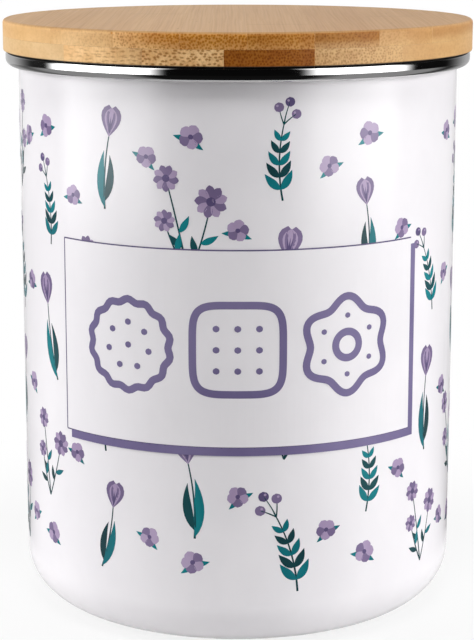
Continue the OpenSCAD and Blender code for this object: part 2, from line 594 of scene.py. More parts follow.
glaze, given, put_out = new_group("glaze", {"Vector": "Vector"}, ("Waviness", "Roughness", "Cloud", "Speck"))
wide_waves = noise(glaze, given["Vector"], WIDE_WAVES)
fine_waves = noise(glaze, given["Vector"], FINE_WAVES)
feed(glaze, put_out["Waviness"], calc(glaze, "MULTIPLY_ADD", fine_waves, FINE_SHARE, wide_waves))
cloud = noise(glaze, given["Vector"], CLOUDS, 4.0)
feed(glaze, put_out["Cloud"], cloud)
feed(glaze, put_out["Roughness"], remap(glaze, cloud, *NOISE_SPAN, *GLAZE_ROUGHNESS))
specks = voronoi(glaze, given["Vector"], scale=SPECKS)
feed(glaze, put_out["Speck"], remap(glaze, specks["Distance"], *SPECK_EDGE, 1.0, 0.0))
print("glaze group:", len(glaze.nodes), "nodes")

# %% Glaze the pot
WHITE, OFF_WHITE = (0.866, 0.843, 0.868, 1), (0.825, 0.803, 0.83, 1)
DRIFT_SPAN = (0.35, 0.65)
SPECK_SHARE = 0.35
# A bump is a strength and a distance.
GLAZE_BUMP = (0.12, 0.1 * MM)


def glazed_material(name, tone, deep_tone):
    """A fired colour that drifts between two tones, with the glaze's gloss on top."""
    material, tree, shader, at = new_material(name, IOR=1.52)
    skin = use_group(tree, glaze, Vector=at["Object"])
    colour = mix_colour(tree, remap(tree, skin["Cloud"], *DRIFT_SPAN), tone, deep_tone)
    specked = mix_colour(tree, calc(tree, "MULTIPLY", skin["Speck"], SPECK_SHARE), colour, deep_tone)
    feed(tree, shader["Base Color"], specked)
    feed(tree, shader["Roughness"], skin["Roughness"])
    feed(tree, shader["Normal"], bump(tree, skin["Waviness"], *GLAZE_BUMP))
    return material


white = glazed_material("white_enamel", WHITE, OFF_WHITE)
dress(pot, white)
print("glazed:", pot.name)

# %% [markdown]
# ## The inks
# Fired colours are glass too, and they pool while they melt. So each ink is a glaze that drifts between a
# paler tone, where it ran thin, and a deeper one, where it gathered.

# %% Mix the inks
INK_TONES = {
    "lilac": (srgb(182, 164, 194), srgb(160, 141, 174)),
    "mauve": (srgb(134, 118, 154), srgb(113, 98, 134)),
    "plum": (srgb(104, 92, 132), srgb(86, 75, 112)),
    "violet": (srgb(126, 116, 154), srgb(110, 100, 140)),
    "teal": (srgb(28, 130, 138), srgb(18, 104, 114)),
    "deep_teal": (srgb(32, 80, 86), srgb(22, 58, 64)),
}
LILAC, MAUVE, PLUM, VIOLET, TEAL, DEEP_TEAL = range(len(INK_TONES))
inks = [glazed_material(f"ink_{name}", thin, deep) for name, (thin, deep) in INK_TONES.items()]
print("inks:", ", ".join(INK_TONES))

# %% [markdown]
# ## The print: brush marks on a flat sheet
# Enamel is often decorated with a transfer that is fired into the glaze. It is drawn flat here, as a sheet
# of brush marks, and rolled onto the wall afterwards. One helper makes every mark: a grid that is three
# points wide follows a path and swells and tapers with a width. The marks are lifted a hair above each
# other, in the order of painting, so that no two lie in the same place.

# %% A brush that paints in edit mode
FIRST_LIFT = 0.03
LIFT_STEP = 0.0015
TIP = 0.03
DAB_END = 0.01


def bow(base, heading, length, curl):
    """A path that leaves base at a heading, in degrees clockwise from up, and bends steadily by curl."""
    start, turn = math.radians(heading), math.radians(curl)

    def at(t):
        if abs(turn) < 1e-6:
            return base[0] + length * t * math.sin(start), base[1] + length * t * math.cos(start), start
        radius = length / turn
        angle = start + turn * t
        x = base[0] + radius * (math.cos(start) - math.cos(angle))
        z = base[1] + radius * (math.sin(angle) - math.sin(start))
        return x, z, angle
    return at


def brush(path, half_width, rows, ink):
    """Paints one mark into the mesh being edited, in mm across a sheet that faces -Y."""
    painted = bpy.context.edit_object
    lift = FIRST_LIFT + LIFT_STEP * painted["marks"]
    painted["marks"] += 1
    bpy.ops.mesh.primitive_grid_add(x_subdivisions=2, y_subdivisions=rows, size=2)
    mesh = bmesh.from_edit_mesh(painted.data)
    for vertex in mesh.verts:
        if vertex.select:
            x, z, angle = path((vertex.co.y + 1) / 2)
            side = vertex.co.x * half_width((vertex.co.y + 1) / 2)
            vertex.co = Vector((x + side * math.cos(angle), -lift, z - side * math.sin(angle))) * MM
    for face in mesh.faces:
        if face.select:
            face.material_index = ink
    bmesh.update_edit_mesh(painted.data)


def stem(path, width):
    """A thin stroke that tapers towards its end."""
    brush(path, lambda t: width / 2 * (1 - 0.45 * t), rows=9, ink=DEEP_TEAL)


def leaf(base, heading, length, width, curl, ink):
    """A stroke that is broadest near its middle."""
    path = bow(base, heading, length, curl)
    brush(path, lambda t: TIP + width / 2 * math.sin(math.pi * t ** 0.8), rows=9, ink=ink)


def petal(base, heading, length, width, curl, ink):
    """A stroke that is broadest near its end."""
    path = bow(base, heading, length, curl)
    brush(path, lambda t: TIP + width / 2 * math.sin(math.pi * t ** 1.6) ** 0.7, rows=8, ink=ink)


def spot(middle, size, ink):
    """A round dab."""
    path = bow((middle[0], middle[1] - size / 2), heading=0, length=size, curl=0)
    brush(path, lambda t: DAB_END + size / 2 * math.sqrt(max(0.0, 1 - (2 * t - 1) ** 2)), rows=8, ink=ink)


# %% [markdown]
# ## Four small motifs
# A storage tin carries simple garden motifs: a tulip, a spray of daisies, a twig with berries and a loose
# blossom. Each is painted once, a few centimetres tall at most, round the origin, and copied later.

# %% A clean sheet and an open flower
DAISY_PETALS = 9
PETAL_SHARE, EYE_SHARE = 0.27, 0.28


def new_sheet(name):
    """An empty sheet with one material slot for each ink, left in edit mode."""
    start_clean()
    bpy.ops.object.add(type="MESH")
    sheet = bpy.context.object
    sheet.name = sheet.data.name = name
    sheet["marks"] = 0
    dress(sheet, *inks)
    bpy.ops.object.mode_set(mode="EDIT")
    return sheet


def daisy(middle, size, turn):
    """An open flower of nine petals, light and dark by turns, with a round eye."""
    for k in range(DAISY_PETALS):
        petal(middle, heading=turn + 360 / DAISY_PETALS * k, length=size / 2, width=size * PETAL_SHARE,
              curl=8, ink=LILAC if k % 2 else MAUVE)
    spot(middle, size * EYE_SHARE, PLUM)


# %% A tulip and a spray of daisies
def paint_tulip():
    stalk = bow((2.0, -18), heading=-12, length=27, curl=16)
    stem(stalk, width=0.8)
    leaf((1.9, -17.5), heading=-26, length=21, width=3.6, curl=34, ink=TEAL)
    leaf((1.7, -15), heading=16, length=17, width=3.2, curl=-34, ink=DEEP_TEAL)
    cup = stalk(0.98)[:2]
    for side in (-1, 1):
        petal(cup, heading=20 * side, length=11.5, width=5.6, curl=-26 * side, ink=MAUVE)
    petal(cup, heading=0, length=10.5, width=5.4, curl=0, ink=LILAC)
    for heading in (-9, 0, 9):
        leaf((cup[0], cup[1] + 0.8), heading, length=6.5, width=0.55, curl=0, ink=PLUM)


def paint_daisies():
    stalks = ((-20, 26, 12, 11, 5), (14, 33, 4, 9, 20), (34, 20, -14, 7.5, 0))
    for heading, length, curl, size, turn in stalks:
        stalk = bow((0, -18), heading, length, curl)
        stem(stalk, width=0.7)
        daisy(stalk(1)[:2], size, turn)
        leaf(stalk(0.45)[:2], heading - 52, length=6.5, width=2.2, curl=20, ink=TEAL)
        leaf(stalk(0.3)[:2], heading + 48, length=6.5, width=2.2, curl=-20, ink=DEEP_TEAL)


# %% A twig of berries and a blossom
BLOSSOM_PETALS = 5


def paint_berries():
    stalk = bow((-3, -17), heading=-4, length=30, curl=26)
    stem(stalk, width=0.75)
    for k in range(5):
        x, z, angle = stalk(0.14 + 0.15 * k)
        for side in (-1, 1):
            leaf((x, z), math.degrees(angle) + 50 * side, length=8.4 - 0.9 * k, width=3.0 - 0.25 * k,
                 curl=-24 * side, ink=TEAL if (k + side) % 2 else DEEP_TEAL)
    for heading, length in ((-26, 6.5), (6, 8.5), (42, 6)):
        x, z, angle = stalk(0.94)
        twig = bow((x, z), math.degrees(angle) + heading - 10, length, curl=14)
        stem(twig, width=0.5)
        berry = twig(1)
        spot(berry[:2], size=3.6, ink=PLUM if heading == 6 else MAUVE)
        spot((berry[0] - 0.6, berry[1] + 0.6), size=0.9, ink=LILAC)


def paint_blossom():
    for side in (-1, 1):
        leaf((0, -0.5), heading=118 * side, length=6.5, width=2.2, curl=-24 * side, ink=TEAL)
    for k in range(BLOSSOM_PETALS):
        petal((0, 0), heading=360 / BLOSSOM_PETALS * k, length=4.6, width=4.2, curl=0,
              ink=MAUVE if k % 2 else LILAC)
    spot((0, 0), size=1.9, ink=PLUM)


# %% Paint each motif once
motifs = {}
for name, paint in (("tulip", paint_tulip), ("daisies", paint_daisies),
                    ("berries", paint_berries), ("blossom", paint_blossom)):
    motifs[name] = new_sheet(f"motif_{name}")
    paint()
    print(f"{name}: {motifs[name]['marks']} brush marks")

# %% [markdown]
# ## The layout
# The motifs stand in sixteen upright columns. Every second column is dropped by half a step, as on old
# wallpaper, and loose blossoms fill the gaps. Sizes and tilts change a little from place to place, so that
# the print looks set by hand.

# %% Copy the motifs over the sheet
COLUMNS = 16
ROWS = 4
ROW_STEP = 39.0
FIRST_ROW = 35.0
PRINT_LOW, PRINT_HIGH = 16.0, 169.0
DROPPED_LOW, DROPPED_HIGH = 29.0, 158.0
HALF_SPRIG = 18
SPRIG_SIZE, SIZE_SPREAD = 0.82, 0.08
TILT_SPREAD = 9
WANDER, GAP_WANDER = 2.0, 4.0
GAP_SIZE, GAP_GAIN, GAP_TILT = 0.55, 0.2, 4
DROPPED_SIZE, DROPPED_TILT = 0.8, 25
GAP_LOW, GAP_HIGH = PRINT_LOW + 8, PRINT_HIGH - 6
HALF_BLOSSOM = 6
LABEL_W, LABEL_LOW, LABEL_HIGH = 118.5, 65.2, 124.9

girth = 2 * math.pi * wall_r
column_w = girth / COLUMNS


def behind_label(x, z, reach):
    """True where a motif would be wholly covered by the label."""
    return abs(x) < LABEL_W / 2 - reach and LABEL_LOW + reach < z < LABEL_HIGH - reach


def place_motif(motif, x, z, tilt, scale, flip):
    """Copies a motif to a place on the sheet."""
    copy = copy_of(motif)
    copy.location = Vector((x, 0, z)) * MM
    copy.rotation_euler = (0, math.radians(tilt), 0)
    copy.scale = (-scale if flip else scale, 1, scale)
    return copy


# The sines below only make the places uneven, so their steps follow no rule.
order = [motifs["tulip"], motifs["daisies"], motifs["berries"]]
blossom = motifs["blossom"]
sprig_copies = []
blossom_copies = []
for column in range(COLUMNS):
    x = (column + 0.5 - COLUMNS / 2) * column_w
    drop = ROW_STEP / 2 if column % 2 else 0
    for row in range(ROWS):
        z = FIRST_ROW + ROW_STEP * row - drop + WANDER * math.sin(2.3 * column + row)
        motif = order[(column + 2 * row) % 3]
        scale = SPRIG_SIZE + SIZE_SPREAD * math.sin(1.7 * column + 2.9 * row)
        tilt = TILT_SPREAD * math.sin(2.1 * row + 1.3 * column)
        reach = HALF_SPRIG * scale
        fits = PRINT_LOW + reach < z < PRINT_HIGH - reach
        if fits and not behind_label(x, z, reach + scale):
            sprig_copies.append(place_motif(motif, x, z, tilt, scale, (row + column) % 2 == 0))
        gap_x, gap_z = x + column_w * 0.5, z + GAP_WANDER * math.sin(3.1 * row + column)
        if GAP_LOW < gap_z < GAP_HIGH and not behind_label(gap_x, gap_z, HALF_BLOSSOM):
            small = GAP_SIZE + GAP_GAIN * scale
            placed = place_motif(blossom, gap_x, gap_z, GAP_TILT * tilt, small, row % 2 == 0)
            blossom_copies.append(placed)
    for z in (DROPPED_LOW, DROPPED_HIGH):
        if drop:
            turn = DROPPED_TILT * math.sin(1.9 * column + z)
            blossom_copies.append(place_motif(blossom, x, z, turn, DROPPED_SIZE, column % 4 == 1))
print("sprigs:", len(sprig_copies), "blossoms:", len(blossom_copies))

# %% [markdown]
# ## Rolling the sheet onto the wall
# Join makes the copies one sheet. Solidify gives the marks the thickness of fired colour, sunk into the
# glaze, and Simple Deform bends the sheet round the wall: a width equal to the girth turns through a full
# circle.

# %% Roll the print
FILM = 0.12 * MM


def join_sheet(sheets, name):
    """Joins painted sheets into one, with its place in its mesh."""
    start_clean()
    for sheet in sheets:
        sheet.select_set(True)
    bpy.context.view_layer.objects.active = sheets[0]
    bpy.ops.object.join()
    joined = bpy.context.object
    joined.name = joined.data.name = name
    bpy.ops.object.transform_apply(location=True, rotation=True, scale=True)
    return joined


def roll(sheet):
    """Thickens a flat sheet and bends it round the wall of the pot."""
    select_only(sheet)
    bpy.ops.object.mode_set(mode="EDIT")
    bpy.ops.mesh.select_all(action="SELECT")
    bpy.ops.mesh.remove_doubles(threshold=LIFT_STEP * MM / 8)
    bpy.ops.mesh.normals_make_consistent(inside=False)
    mesh = bmesh.from_edit_mesh(sheet.data)
    for face in mesh.faces:
        face.select_set(face.normal.y > 0)
    bmesh.update_edit_mesh(sheet.data)
    bpy.ops.mesh.flip_normals()
    bpy.ops.object.mode_set(mode="OBJECT")
    apply_modifier(sheet, "SOLIDIFY", thickness=FILM, offset=-1.0)
    turn = sheet.dimensions.x / (wall_r * MM)
    apply_modifier(sheet, "SIMPLE_DEFORM", deform_method="BEND", deform_axis="Z", angle=turn)
    bpy.ops.transform.translate(value=(0, -wall_r * MM, 0))
    bpy.ops.object.transform_apply(location=True)
    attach(sheet, "pot")
    count(sheet)


for name, copies in (("print_sprigs", sprig_copies), ("print_blossoms", blossom_copies)):
    sheet = join_sheet(copies, name)
    roll(sheet)
for motif in motifs.values():
    bpy.data.objects.remove(motif)

# %% [markdown]
# ## The label
# A plain white panel lies over the sprigs at the front. A fine line runs along its top, bottom and left,
# and a broad bar below it and on its right, like a shadow. Three biscuits drawn in line tell what the tin
# holds.

# %% Paint the label
FINE_LINE = 0.4
SIDE_BAR = 2.2
FOOT_BAR = 2.5
BAR_SHIFT = 2.0
LABEL_COLUMNS, LABEL_ROWS = 48, 4
FIRST_SLOT = 0


def ruled_line(start, end, width, rows, ink):
    """A straight stroke of even width."""
    heading = math.degrees(math.atan2(end[0] - start[0], end[1] - start[1]))
    length = math.hypot(end[0] - start[0], end[1] - start[1])
    brush(bow(start, heading, length, 0), lambda t: width / 2, rows, ink)


label_panel = new_sheet("label_panel")
label_middle = (LABEL_LOW + LABEL_HIGH) / 2
half_label = LABEL_W / 2
panel_start, panel_end = (-half_label, label_middle), (half_label, label_middle)
ruled_line(panel_start, panel_end, LABEL_HIGH - LABEL_LOW, LABEL_COLUMNS, FIRST_SLOT)

label_lines = new_sheet("label_lines")
for height in (LABEL_LOW, LABEL_HIGH):
    ruled_line((-half_label, height), (half_label, height), FINE_LINE, LABEL_COLUMNS, PLUM)
ruled_line((-half_label, LABEL_LOW), (-half_label, LABEL_HIGH), FINE_LINE, LABEL_ROWS, PLUM)
foot_middle = LABEL_LOW - FOOT_BAR / 2
foot_start, foot_end = (-half_label + BAR_SHIFT, foot_middle), (half_label + SIDE_BAR, foot_middle)
ruled_line(foot_start, foot_end, FOOT_BAR, LABEL_COLUMNS, VIOLET)
side_middle = half_label + SIDE_BAR / 2
side_start, side_end = (side_middle, LABEL_LOW), (side_middle, LABEL_HIGH - BAR_SHIFT)
ruled_line(side_start, side_end, SIDE_BAR, LABEL_ROWS, VIOLET)
print("label lines:", label_lines["marks"])

# %% Draw the biscuits
BISCUIT_R = 13.5
BISCUIT_STEP = 34.0
INK_LINE = 2.3
DOT, SMALL_DOT = 2.0, 1.7
RING_R, FLOWER_R, HOLE_R = 7.0, 9.0, 4.0
GRID_STEP = 6.4
STEP_ASIDE = 0.001


def loop_line(middle, radius, lobes=1, depth=0.0, squareness=1.0):
    """A closed stroke: a circle, a wavy one with lobes, or with squareness below 1 a rounded square."""
    def place(t):
        angle = 2 * math.pi * t
        reach = radius * (1 + depth * math.cos(lobes * angle))
        x = math.copysign(abs(math.sin(angle)) ** squareness, math.sin(angle))
        z = math.copysign(abs(math.cos(angle)) ** squareness, math.cos(angle))
        return middle[0] + reach * x, middle[1] + reach * z

    def at(t):
        before, after = place(t - STEP_ASIDE), place(t + STEP_ASIDE)
        return *place(t), math.atan2(after[0] - before[0], after[1] - before[1])
    brush(at, lambda t: INK_LINE / 2, rows=96, ink=VIOLET)


def ring_of_dots(x, radius, dots, size):
    """Dots in a ring round the middle of a biscuit."""
    for k in range(dots):
        angle = 2 * math.pi * k / dots
        spot((x + radius * math.sin(angle), label_middle + radius * math.cos(angle)), size, VIOLET)


left, right = (-BISCUIT_STEP, label_middle), (BISCUIT_STEP, label_middle)
loop_line(left, BISCUIT_R, lobes=14, depth=0.035)
spot(left, DOT, VIOLET)
ring_of_dots(left[0], RING_R, dots=7, size=DOT)
loop_line((0, label_middle), BISCUIT_R, squareness=0.42)
for row in (-1, 0, 1):
    for column in (-1, 0, 1):
        spot((GRID_STEP * column, label_middle + GRID_STEP * row), DOT, VIOLET)
loop_line(right, BISCUIT_R, lobes=6, depth=0.1)
loop_line(right, HOLE_R)
ring_of_dots(right[0], FLOWER_R, dots=6, size=SMALL_DOT)
print("label lines and biscuits:", label_lines["marks"])

# %% Roll the label
PANEL_LIFT, LINE_LIFT = 0.16, 0.18

for sheet, lift in ((label_panel, PANEL_LIFT), (label_lines, LINE_LIFT)):
    select_only(sheet)
    sheet.location.y = -lift * MM
    bpy.ops.object.transform_apply(location=True)
    roll(sheet)
dress(label_panel, white)

# %% [markdown]
# ## Polished steel
# The band is mirror steel. A perfect mirror looks unreal, so faint lines run round it, as the polishing
# wheel leaves them: a noise that changes with height and distance from the axis, and not along the way
# round.

# %% Polish the band
WHEEL_LINES, HAND_MARKS = (9000, 9000, 9000), (60, 60, 200)
MARK_SPAN = (0.35, 0.7)
STEEL_ROUGHNESS = (0.05, 0.1)
STEEL_BUMP = (0.08, 0.01 * MM)
DULL_STEEL, BRIGHT_STEEL = (0.74, 0.735, 0.73, 1), (0.82, 0.82, 0.825, 1)

steel, tree, shader, at = new_material("polished_steel", Metallic=1.0)
out_and_up = combine(tree, x=from_axis(tree, at["Object"]), z=split(tree, at["Object"])[2])
wheel_lines = noise(tree, out_and_up, WHEEL_LINES, 3.0)
hand_marks = noise(tree, at["Object"], HAND_MARKS, 3.0)
feed(tree, shader["Base Color"], mix_colour(tree, hand_marks, DULL_STEEL, BRIGHT_STEEL))
feed(tree, shader["Roughness"], remap(tree, hand_marks, *MARK_SPAN, *STEEL_ROUGHNESS))
feed(tree, shader["Normal"], bump(tree, wheel_lines, *STEEL_BUMP))
dress(band, steel)
print("polished:", band.name)

# %% [markdown]
# ## Silicone
# The seal is milky rubber. Light goes a little way in, so a touch of subsurface scattering softens it, and
# fine dust and mould grain keep its gloss low.

# %% Mould the seal
MILKY, DUSTY = (0.80, 0.82, 0.81, 1), (0.70, 0.715, 0.70, 1)
MOULD_GRAIN, DUST = (900, 900, 900), (70, 70, 140)
RUBBER_ROUGHNESS = (0.32, 0.48)
RUBBER_BUMP = (0.1, 0.05 * MM)

rubber, tree, shader, at = new_material("milky_silicone", IOR=1.41, Subsurface_Weight=0.35,
                                        Subsurface_Scale=2 * MM)
grain = noise(tree, at["Object"], MOULD_GRAIN, 3.0)
dust = noise(tree, at["Object"], DUST, 4.0)
feed(tree, shader["Base Color"], mix_colour(tree, dust, MILKY, DUSTY))
feed(tree, shader["Roughness"], remap(tree, dust, *NOISE_SPAN, *RUBBER_ROUGHNESS))
feed(tree, shader["Normal"], bump(tree, grain, *RUBBER_BUMP))
dress(seal, rubber)
print("moulded:", seal.name)

# %% [markdown]
# ## Bamboo grain
# Bamboo is a bundle of dark fibres in a pale, spongy straw. On the end of a strip the fibres are dots, and
# along it they are streaks, so one solid pattern, pulled out along the fibres, gives both at once. The
# fibres lie where a Voronoi texture has its points, each row a little to the side of the one below. Now and
# then a strip holds a knuckle, where the stalk had a joint. Every strip uses the same node group with its
# own values.

# %% Bundle the fibres
SWAY, SWAY_GRAIN = 3.0 * MM, (60, 7, 60)
LEAN = 0.5
SCATTER = 0.8
BREAKS, BREAK_SHARE = (1300, 16, 1300), 0.7
FIBRE_EDGE, PITH_EDGE = (0.4, 0.8), (0.6, 1.05)

bamboo, given, put_out = new_group(
    "bamboo", {"Vector": "Vector", "Across": "Float", "Through": "Float", "Knuckle Place": "Float"},
    ("Fibres", "Pith", "Streaks", "Shade", "Knuckle", "Pore", "Height"))
sway = noise(bamboo, given["Vector"], SWAY_GRAIN, output="Color")
swayed = vector_calc(bamboo, "MULTIPLY_ADD", sway, (SWAY, 0.0, SWAY), given["Vector"])
place = split(bamboo, swayed)
rows_up = calc(bamboo, "DIVIDE", place[2], given["Through"])
columns = calc(bamboo, "DIVIDE", place[0], given["Across"])
section = combine(bamboo, calc(bamboo, "MULTIPLY_ADD", rows_up, LEAN, columns), rows_up)
cells = voronoi(bamboo, section, randomness=SCATTER, dimensions="2D")
to_fibre = split(bamboo, vector_calc(bamboo, "SUBTRACT", cells["Position"], section))
sideways = calc(bamboo, "MULTIPLY_ADD", to_fibre[1], -LEAN, to_fibre[0])
spacing = from_axis(bamboo, combine(bamboo, sideways, to_fibre[1]))
broken = noise(bamboo, swayed, BREAKS)
from_fibre = calc(bamboo, "MULTIPLY_ADD", broken, BREAK_SHARE, spacing)
fibres = remap(bamboo, from_fibre, *FIBRE_EDGE, 1.0, 0.0)
feed(bamboo, put_out["Fibres"], fibres)
feed(bamboo, put_out["Pith"], remap(bamboo, from_fibre, *PITH_EDGE))
print("fibres and pith:", len(bamboo.nodes), "nodes")

# %% Add streaks, a knuckle and pores
STREAKS, SHADES, WOBBLES = (1700, 14, 1100), (160, 6, 220), (420, 0, 420)
FIBRE_DEPTH = 0.6
KNUCKLE_WOBBLE = 9.0 * MM
KNUCKLE_HALF = 2.4 * MM
PORES, PORE_EDGE = (130, 50, 130), (0.035, 0.06)

streaks = noise(bamboo, swayed, STREAKS, 3.0)
feed(bamboo, put_out["Streaks"], streaks)
feed(bamboo, put_out["Height"], calc(bamboo, "MULTIPLY_ADD", fibres, -FIBRE_DEPTH, streaks))
feed(bamboo, put_out["Shade"], noise(bamboo, given["Vector"], SHADES, 3.0))
wobble = noise(bamboo, given["Vector"], WOBBLES, 4.0)
from_knuckle = calc(bamboo, "SUBTRACT", split(bamboo, given["Vector"])[1], given["Knuckle Place"])
shifted = calc(bamboo, "MULTIPLY_ADD", wobble, KNUCKLE_WOBBLE, from_knuckle)
knuckle = remap(bamboo, calc(bamboo, "ABSOLUTE", shifted), 0.0, KNUCKLE_HALF, 1.0, 0.0)
feed(bamboo, put_out["Knuckle"], knuckle)
pores = voronoi(bamboo, stretch(bamboo, given["Vector"], PORES))
feed(bamboo, put_out["Pore"], remap(bamboo, pores["Distance"], *PORE_EDGE, 1.0, 0.0))
print("bamboo group:", len(bamboo.nodes), "nodes")

# %% [markdown]
# ## A finish for each strip
# The strips come from different stalks, so each has its own tones. The broad faces are nearly alike, and
# their greyer tone is partly painted sheen, the pale glaze of light on the top at a grazing angle. The rim
# has two tones: where it is cut along the grain it stays pale, and the sawn ends at the front and back drink
# more oil and darken. The normal says which face is which. Under the lid, the ring over the steel band is
# painted black: painted shade for the dark gap between the lid and the band.

# %% Choose the tones
# The broad faces' tone is partly real and partly painted sheen: greyed like the pale glaze of light on the
# top at a grazing angle.
FACE = srgb(197, 155, 107)
PALE = srgb(219, 177, 122)
BLOND = srgb(219, 184, 135)
CREAM = srgb(240, 198, 141)
HONEY = srgb(204, 163, 111)
TAN = srgb(194, 149, 95)
AMBER = srgb(202, 133, 36)
BRONZE = srgb(188, 123, 33)
UMBER = srgb(164, 105, 27)
OAK = srgb(185, 139, 87)
BROWN = srgb(152, 86, 0)
PITH = srgb(246, 214, 160)
DARK_FIBRE = srgb(186, 164, 134)
SHADOW_TONE = srgb(226, 208, 184)
# Painted shade: near black, for the dark gap between the lid and the steel band.
PAINTED_SHADE_TONE = (0.008, 0.007, 0.006, 1)
FACE_SHARE = 0.1

# Width and thickness of a fibre's cell, in mm
DASHES = (2.6, 0.85)
COARSE = (1.6, 1.05)
EVEN = (1.0, 1.0)
FINE = (0.8, 0.9)

# Places of the knuckles along their strips, and how much the top strips pale towards the joint below them
NOWHERE = 1.0
KNUCKLES = {"bamboo_top_3": 0.021, "bamboo_top_5": -0.034, "bamboo_top_7": 0.008, "bamboo_plug_2": 0.024}
FADE_REACH = 0.6
TOP_FADE = 0.15
FADES = {"bamboo_top_3": 0.3, "bamboo_top_6": 0.35, "bamboo_top_8": 0.35}
print("strips with a knuckle:", ", ".join(KNUCKLES))

# %% Find the faces of a strip
# The ring of painted shade under the lid begins and is full this far inside the band's outer radius, in mm.
SHADE_RING_START, SHADE_RING_FULL = 3.0, 2.4
UNDER_SPAN = (-0.9, -0.25)
FLAT_SPAN = (0.42, 0.78)
END_SPAN = (0.84, 0.97)


def painted_shade_ring(tree, place, upward):
    """1 on the ring of the underside over the steel band, painted shade for the dark gap there, 0 elsewhere.
    """
    ring = remap(tree, from_axis(tree, place), (band_r - SHADE_RING_START) * MM, (band_r - SHADE_RING_FULL) * MM)
    underside = remap(tree, upward, *UNDER_SPAN, 1.0, 0.0)
    return calc(tree, "MULTIPLY", ring, underside)


def strip_faces(tree, normal, crosswise):
    """How far the rim looks along the grain, and how flat a face lies, both from 0 to 1."""
    level = calc(tree, "SQRT", calc(tree, "SUBTRACT", 1.0, calc(tree, "POWER", normal[2], 2.0)))
    along = calc(tree, "DIVIDE", calc(tree, "ABSOLUTE", normal[0 if crosswise else 1]), level)
    return along, remap(tree, calc(tree, "ABSOLUTE", normal[2]), *FLAT_SPAN)


def strip_tone(tree, along, flat, height, rim_tone, end_tone, fade):
    """The tone under the grain: on the rim, on the sawn ends, and on the broad faces, partly painted sheen.
    """
    pale_top = top_low.z + FADE_REACH * (top_high.z - top_low.z)
    lower = remap(tree, height, top_low.z, pale_top, fade, 0.0)
    rim = mix_colour(tree, remap(tree, along, *END_SPAN), rim_tone, end_tone)
    # Painted sheen in part: the broad faces take the greyer face tone.
    face = mix_colour(tree, FACE_SHARE, FACE, rim_tone)
    return mix_colour(tree, flat, mix_colour(tree, lower, rim, PITH), face)


# %% Mix a finish in layers
SEED_X, SEED_Z = 0.137, 0.091
PALE_SHARE = 0.5
SAWN_SPAN, LONG_GRAIN = (0.7, 0.88), 0.3
FACE_VIGOUR, FACE_DRIFT = 0.14, 0.32
RIM_DRIFT, DRIFT_GAIN = 0.25, 0.6
STREAK_SPAN, STREAK_SHARE = (0.4, 0.7), 0.4
PITH_SHARE, KNUCKLE_SHARE, PORE_SHARE = 0.6, 0.22, 0.7
BAMBOO_ROUGHNESS = (0.42, 0.46)
BAMBOO_BUMP = (0.12, 0.08 * MM)


def bamboo_material(name, rim_tone, end_tone, dots, contrast, seed, crosswise=False):
    """One strip's finish. The seed moves the grain, so that no two strips match."""
    material, tree, shader, at = new_material(name, IOR=1.48, Specular_IOR_Level=0.3)
    placed = add_node(tree, "ShaderNodeMapping")
    feed(tree, placed.inputs["Vector"], at["Object"])
    feed(tree, placed.inputs["Location"], (SEED_X * seed, 0.0, SEED_Z * seed))
    feed(tree, placed.inputs["Rotation"], (0, 0, math.pi / 2 if crosswise else 0))
    grain = use_group(tree, bamboo, Vector=placed.outputs[0], Across=dots[0] * MM, Through=dots[1] * MM,
                      Knuckle_Place=KNUCKLES.get(name, NOWHERE))

    normal = split(tree, at["Normal"])
    along, flat = strip_faces(tree, normal, crosswise)
    fade = FADES.get(name, TOP_FADE if "top" in name else 0.0)
    tone = strip_tone(tree, along, flat, split(tree, at["Object"])[2], rim_tone, end_tone, fade)
    pale_tone = mix_colour(tree, PALE_SHARE * min(1.0, end_tone[0] / AMBER[0]) ** 3, tone, PITH)
    dark_tone = mix_colour(tree, 1.0, tone, DARK_FIBRE, "MULTIPLY")

    sawn = remap(tree, along, *SAWN_SPAN, LONG_GRAIN, 1.0)
    vigour = remap(tree, flat, 0.0, 1.0, calc(tree, "MULTIPLY", sawn, contrast), FACE_VIGOUR)
    drift = remap(tree, flat, 0.0, 1.0, RIM_DRIFT + DRIFT_GAIN * contrast, FACE_DRIFT)
    streaks = remap(tree, grain["Streaks"], *STREAK_SPAN, 0.0, STREAK_SHARE)
    shade = remap(tree, grain["Shade"], *NOISE_SPAN)
    shade_ring = painted_shade_ring(tree, at["Object"], normal[2])
    colour = tone
    for mask, strength, layer, blend in (
            (grain["Pith"], calc(tree, "MULTIPLY", vigour, PITH_SHARE), pale_tone, "MIX"),
            (grain["Fibres"], vigour, dark_tone, "MIX"),
            (streaks, drift, dark_tone, "MIX"),
            (shade, drift, SHADOW_TONE, "MULTIPLY"),
            (grain["Knuckle"], KNUCKLE_SHARE, dark_tone, "MIX"),
            (grain["Pore"], PORE_SHARE, dark_tone, "MIX"),
            # Last layer: painted shade, the dark gap under the lid painted black on the ring over the band.
            (shade_ring, 1.0, PAINTED_SHADE_TONE, "MIX")):
        colour = mix_colour(tree, calc(tree, "MULTIPLY", mask, strength), colour, layer, blend)
    feed(tree, shader["Base Color"], colour)
    feed(tree, shader["Roughness"], remap(tree, grain["Streaks"], *NOISE_SPAN, *BAMBOO_ROUGHNESS))
    feed(tree, shader["Normal"], bump(tree, grain["Height"], *BAMBOO_BUMP))
    return material


